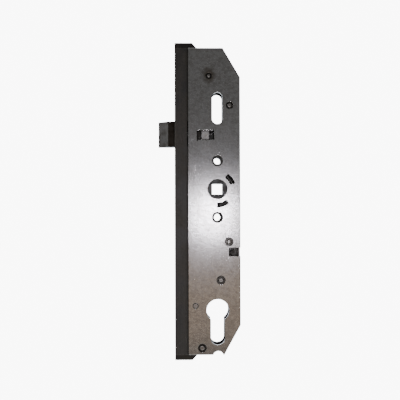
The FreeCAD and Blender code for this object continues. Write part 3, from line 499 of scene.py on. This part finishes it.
def make_latch_spring():
    """Pushes the latch head out from the guide; it is built as a rigid coil fixed to the case, while
    the real spring shortens as the handle draws the latch in.
    """
    low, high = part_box("latch_spring")
    wire = LATCH_WIRE * MM
    radius = (high.z - low.z) / 2 - wire
    centre = (low.x, middle("latch_spring", 1), middle("latch_spring", 2))
    piece = spring("latch_coil_spring", "latch_spring", centre, (1, 0, 0), high.x - low.x,
                   radius, wire, turns=10.5)
    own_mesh(piece)


def make_follower_spring():
    """Returns the handle: seen through the upper sight slot, between a lobe and its seat."""
    low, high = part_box("follower_spring")
    wire = FOLLOWER_WIRE * MM
    slope = math.radians(FOLLOWER_SPRING_SLOPE)
    along = Vector((math.cos(slope), 0.0, math.sin(slope)))
    radius = (high.y - low.y) / 2 - wire
    length = FOLLOWER_SPRING_LENGTH * MM
    centre = Vector([middle("follower_spring", axis) for axis in range(3)])
    start = centre - along * length / 2
    piece = spring("follower_coil_spring", "follower_spring", start, along, length, radius,
                   wire, turns=8.5)
    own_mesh(piece)


def make_deadlock_spring():
    """Pushes the deadlock slider forward; it sits between the slider and the rear wall."""
    low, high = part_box("deadlock_spring")
    wire = DEADLOCK_WIRE * MM
    radius = (high.z - low.z) / 2 - wire
    centre = (low.x, middle("deadlock_spring", 1), middle("deadlock_spring", 2))
    spring("deadlock_coil_spring", "deadlock_spring", centre, (1, 0, 0), high.x - low.x,
           radius, wire, turns=7.5)


# ---- studio ---------------------------------------------------------------------------------------

FLOOR_DROP = 0.6
FLOOR_RADIUS = 1.5
FLOOR_GLOW = 0.5
STUDIO_SIZE = 4.0
BACKDROP_GLOW = 9.0
CAMERA_LENS = 72.0
CAMERA_SENSOR = 36.0
CAMERA_BACK = 0.606
CAMERA_LEFT, CAMERA_HEIGHT = -0.0285, -0.0174
AIM_LEFT, AIM_HEIGHT = -0.0133, -0.0083
CAMERA_ROLL = -0.16


def plain_material(name, colour, glow):
    """A plain backdrop material with a white glow of its own."""
    material = bpy.data.materials.new(name)
    material.use_nodes = True
    shader = material.node_tree.nodes["Principled BSDF"]
    shader.inputs["Base Color"].default_value = colour
    shader.inputs["Roughness"].default_value = 0.9
    shader.inputs["Emission Color"].default_value = (1.0, 1.0, 1.0, 1.0)
    shader.inputs["Emission Strength"].default_value = glow
    return material


def make_backdrop():
    """A white surround that only the camera sees, so that it adds nothing to the lock's light."""
    bpy.ops.mesh.primitive_uv_sphere_add(segments=48, ring_count=24, radius=STUDIO_SIZE)
    dome = bpy.context.object
    dome.name = "white_surround"
    dome.data.materials.append(plain_material("white_surround", grey(0.9), glow=BACKDROP_GLOW))
    for kind in ("diffuse", "glossy", "transmission", "volume_scatter", "shadow"):
        setattr(dome, f"visible_{kind}", False)


def make_floor():
    """A pale round floor well below the lock: it throws light up and the camera doesn't see it."""
    bpy.ops.mesh.primitive_circle_add(vertices=96, radius=FLOOR_RADIUS, fill_type="NGON",
                                      location=(0, 0, -FLOOR_DROP))
    floor = bpy.context.object
    floor.name = "pale_floor"
    floor.data.materials.append(plain_material("pale_floor", grey(0.85, 0.01), glow=FLOOR_GLOW))
    floor.visible_camera = False


def soft_light(name, place, target, width, height, radiance, colour=(1.0, 1.0, 1.0)):
    """A rectangular light whose surface has the given radiance, hidden from the camera."""
    lamp = bpy.data.lights.new(name, "AREA")
    lamp.shape = "RECTANGLE"
    lamp.size = width
    lamp.size_y = height
    lamp.color = colour
    lamp.energy = radiance * math.pi * width * height
    light = bpy.data.objects.new(name, lamp)
    light.location = place
    light.rotation_euler = (Vector(target) - Vector(place)).to_track_quat("-Z", "Y").to_euler()
    light.visible_camera = False
    bpy.context.scene.collection.objects.link(light)


def make_lights():
    """A small light by the lens, a warm one low in front, and broad ones around the lock."""
    centre = (-0.01, 0.0, 0.0)
    soft_light("lens_light", (0.022, -0.62, -0.021), (-0.003, 0.0, -0.019), 0.05, 0.05, 28.0,
               (0.94, 0.91, 1.0))
    soft_light("warm_low_light", (-0.10, -1.5, -0.25), centre, 1.0, 0.24, 0.36, (1.0, 0.70, 0.46))
    soft_light("top_light", (0.0, 0.25, 1.2), centre, 1.0, 1.0, 1.6)
    soft_light("rear_light", (0.03, 0.95, 0.06), centre, 0.55, 0.60, 3.0, (0.86, 0.93, 1.0))
    soft_light("front_edge_light", (-0.95, -0.25, 0.30), centre, 0.5, 0.6, 2.6)
    soft_light("hinge_side_light", (0.80, 0.60, 0.35), centre, 0.5, 0.6, 2.0)
    world = bpy.data.worlds.new("studio")
    bpy.context.scene.world = world
    world.use_nodes = True
    background = world.node_tree.nodes["Background"]
    background.inputs["Color"].default_value = grey(0.168)
    background.inputs["Strength"].default_value = 1.0


def make_camera():
    """Camera nearly square to the plate, a little to the left of the lock and below its middle."""
    plate_face = CAD_BOX[0].y
    lens = bpy.data.cameras.new("camera")
    lens.lens = CAMERA_LENS
    lens.sensor_width = CAMERA_SENSOR
    camera = bpy.data.objects.new("camera", lens)
    camera.location = (CAMERA_LEFT, plate_face - CAMERA_BACK, CAMERA_HEIGHT)
    aim = Vector((AIM_LEFT, plate_face, AIM_HEIGHT))
    turn = (aim - camera.location).to_track_quat("-Z", "Y")
    camera.rotation_euler = turn.to_euler()
    camera.rotation_euler.rotate_axis("Z", math.radians(CAMERA_ROLL))
    bpy.context.scene.collection.objects.link(camera)
    bpy.context.scene.camera = camera


make_camera()
make_lights()
make_floor()
make_backdrop()
FINISHES = paint_nodes()
make_latch_spring()
make_follower_spring()
make_deadlock_spring()
